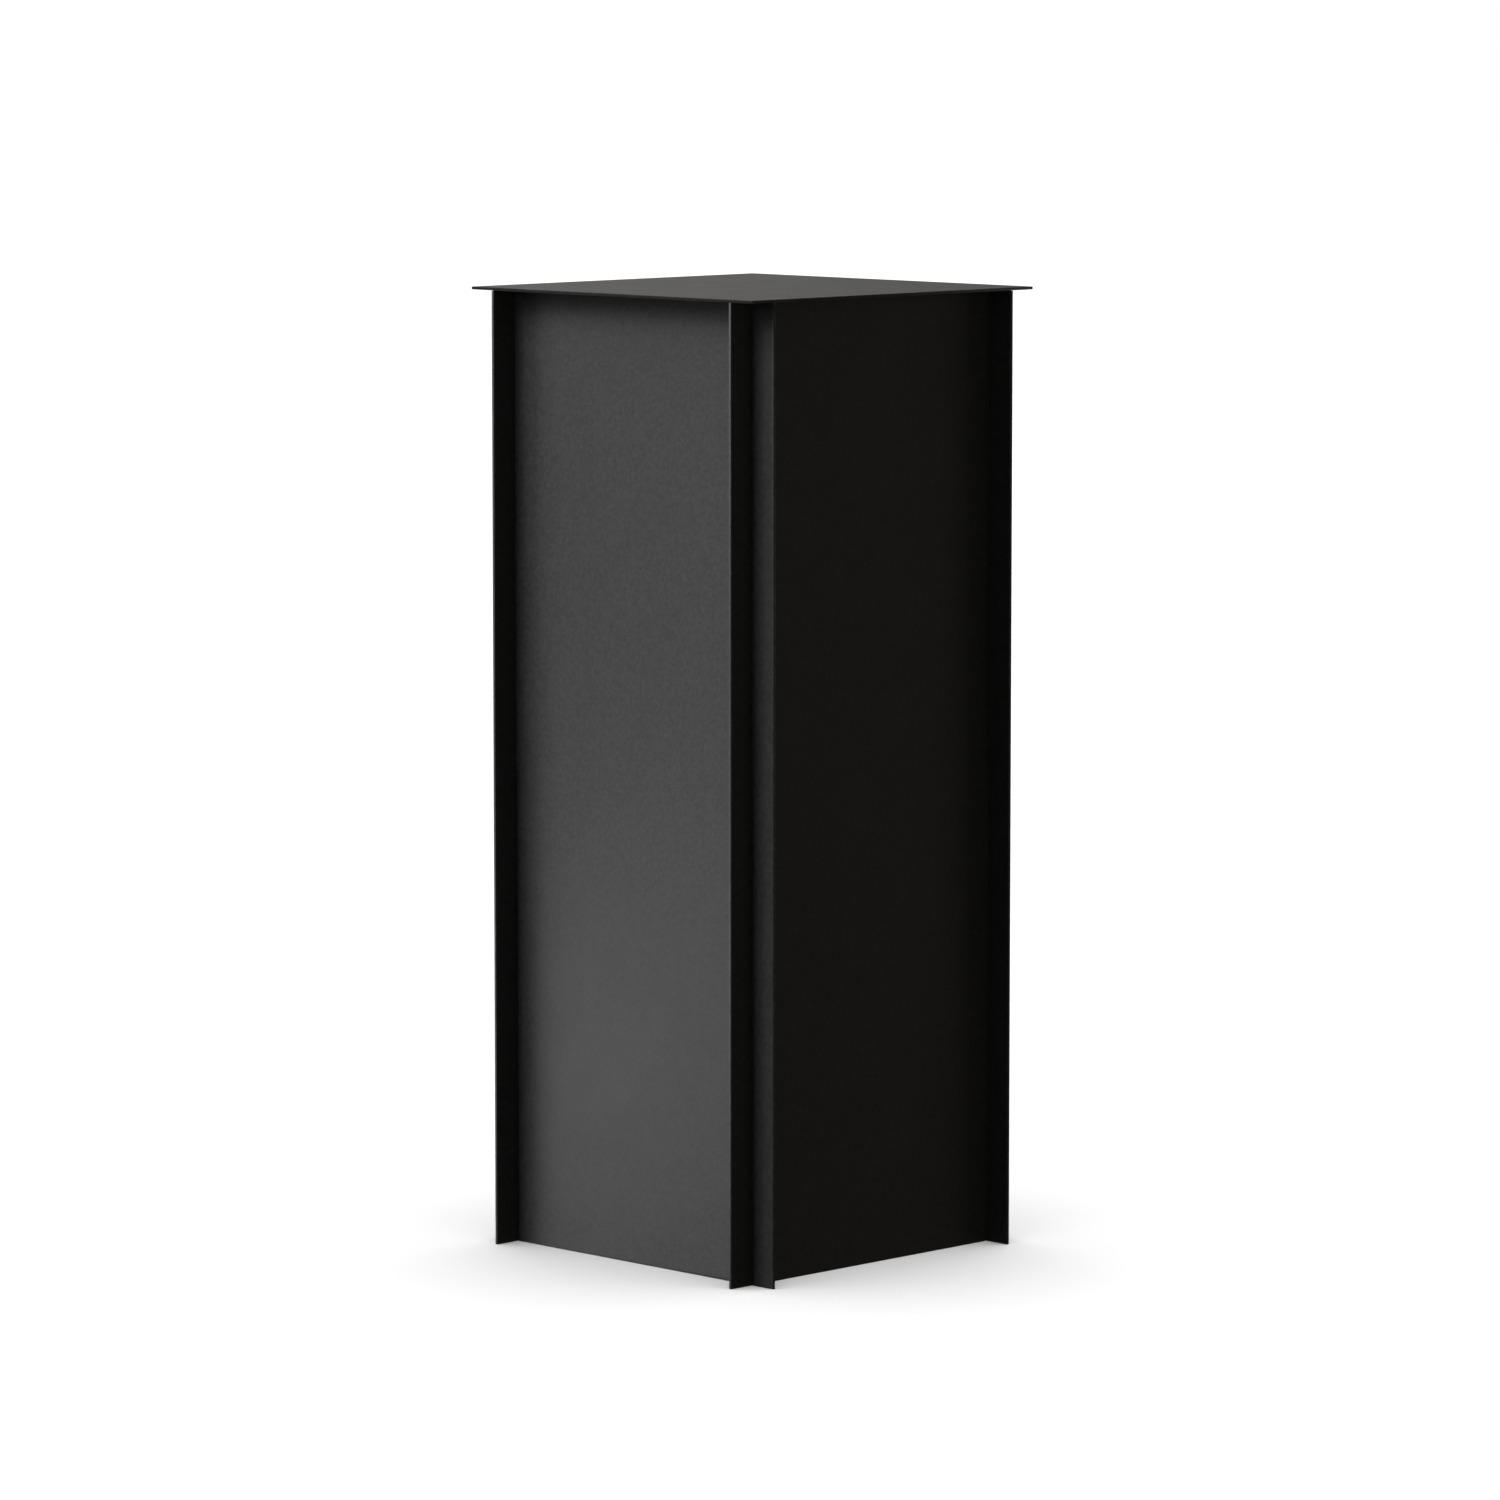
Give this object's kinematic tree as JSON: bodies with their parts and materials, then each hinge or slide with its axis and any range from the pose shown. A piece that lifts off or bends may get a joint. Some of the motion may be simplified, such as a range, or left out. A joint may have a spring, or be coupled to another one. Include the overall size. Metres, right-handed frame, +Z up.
{
  "type": "display plinth",
  "caption": "Tall square display plinth of black sheet metal: crossing panels that run past the corners as fins, a thin flat top, hidden corner brackets and levelling feet.",
  "frame": {"origin": "on the floor, under the middle of the plinth", "axes": "+Z up, the longest extent; the front panel faces -Y and the left panel faces -X"},
  "size_m": [0.41, 0.41, 1],
  "materials": {
    "powder_coat": "matt black powder coat with a fine grain",
    "zinc_steel": "zinc-plated",
    "foot_rubber": "matt moulded"
  },
  "bodies": {
    "plinth": {"front_panel": "powder_coat", "back_panel": "powder_coat", "left_panel": "powder_coat", "right_panel": "powder_coat", "top_plate": "powder_coat", "upper_bracket_front_left": "powder_coat", "upper_nut_front_left_on_front": "zinc_steel", "upper_nut_front_left_on_left": "zinc_steel", "lower_bracket_front_left": "powder_coat", "lower_nut_front_left_on_front": "zinc_steel", "lower_nut_front_left_on_left": "zinc_steel", "top_nut_front_left": "zinc_steel", "lock_nut_front_left": "zinc_steel", "upper_bracket_front_right": "powder_coat", "upper_nut_front_right_on_front": "zinc_steel", "upper_nut_front_right_on_right": "zinc_steel", "lower_bracket_front_right": "powder_coat", "lower_nut_front_right_on_front": "zinc_steel", "lower_nut_front_right_on_right": "zinc_steel", "top_nut_front_right": "zinc_steel", "lock_nut_front_right": "zinc_steel", "upper_bracket_back_right": "powder_coat", "upper_nut_back_right_on_back": "zinc_steel", "upper_nut_back_right_on_right": "zinc_steel", "lower_bracket_back_right": "powder_coat", "lower_nut_back_right_on_back": "zinc_steel", "lower_nut_back_right_on_right": "zinc_steel", "top_nut_back_right": "zinc_steel", "lock_nut_back_right": "zinc_steel", "upper_bracket_back_left": "powder_coat", "upper_nut_back_left_on_back": "zinc_steel", "upper_nut_back_left_on_left": "zinc_steel", "lower_bracket_back_left": "powder_coat", "lower_nut_back_left_on_back": "zinc_steel", "lower_nut_back_left_on_left": "zinc_steel", "top_nut_back_left": "zinc_steel", "lock_nut_back_left": "zinc_steel"},
    "foot_front_left": {"foot_pad_front_left": "foot_rubber", "foot_stem_front_left": "zinc_steel"},
    "foot_front_right": {"foot_pad_front_right": "foot_rubber", "foot_stem_front_right": "zinc_steel"},
    "foot_back_right": {"foot_pad_back_right": "foot_rubber", "foot_stem_back_right": "zinc_steel"},
    "foot_back_left": {"foot_pad_back_left": "foot_rubber", "foot_stem_back_left": "zinc_steel"}
  },
  "joints": [
    {"name": "foot_screw_front_left", "type": "slide", "parent": "plinth", "child": "foot_front_left", "axis": [0, 0, -1], "range_m": [0, 0.02]},
    {"name": "foot_screw_front_right", "type": "slide", "parent": "plinth", "child": "foot_front_right", "axis": [0, 0, -1], "range_m": [0, 0.02]},
    {"name": "foot_screw_back_right", "type": "slide", "parent": "plinth", "child": "foot_back_right", "axis": [0, 0, -1], "range_m": [0, 0.02]},
    {"name": "foot_screw_back_left", "type": "slide", "parent": "plinth", "child": "foot_back_left", "axis": [0, 0, -1], "range_m": [0, 0.02]}
  ]
}
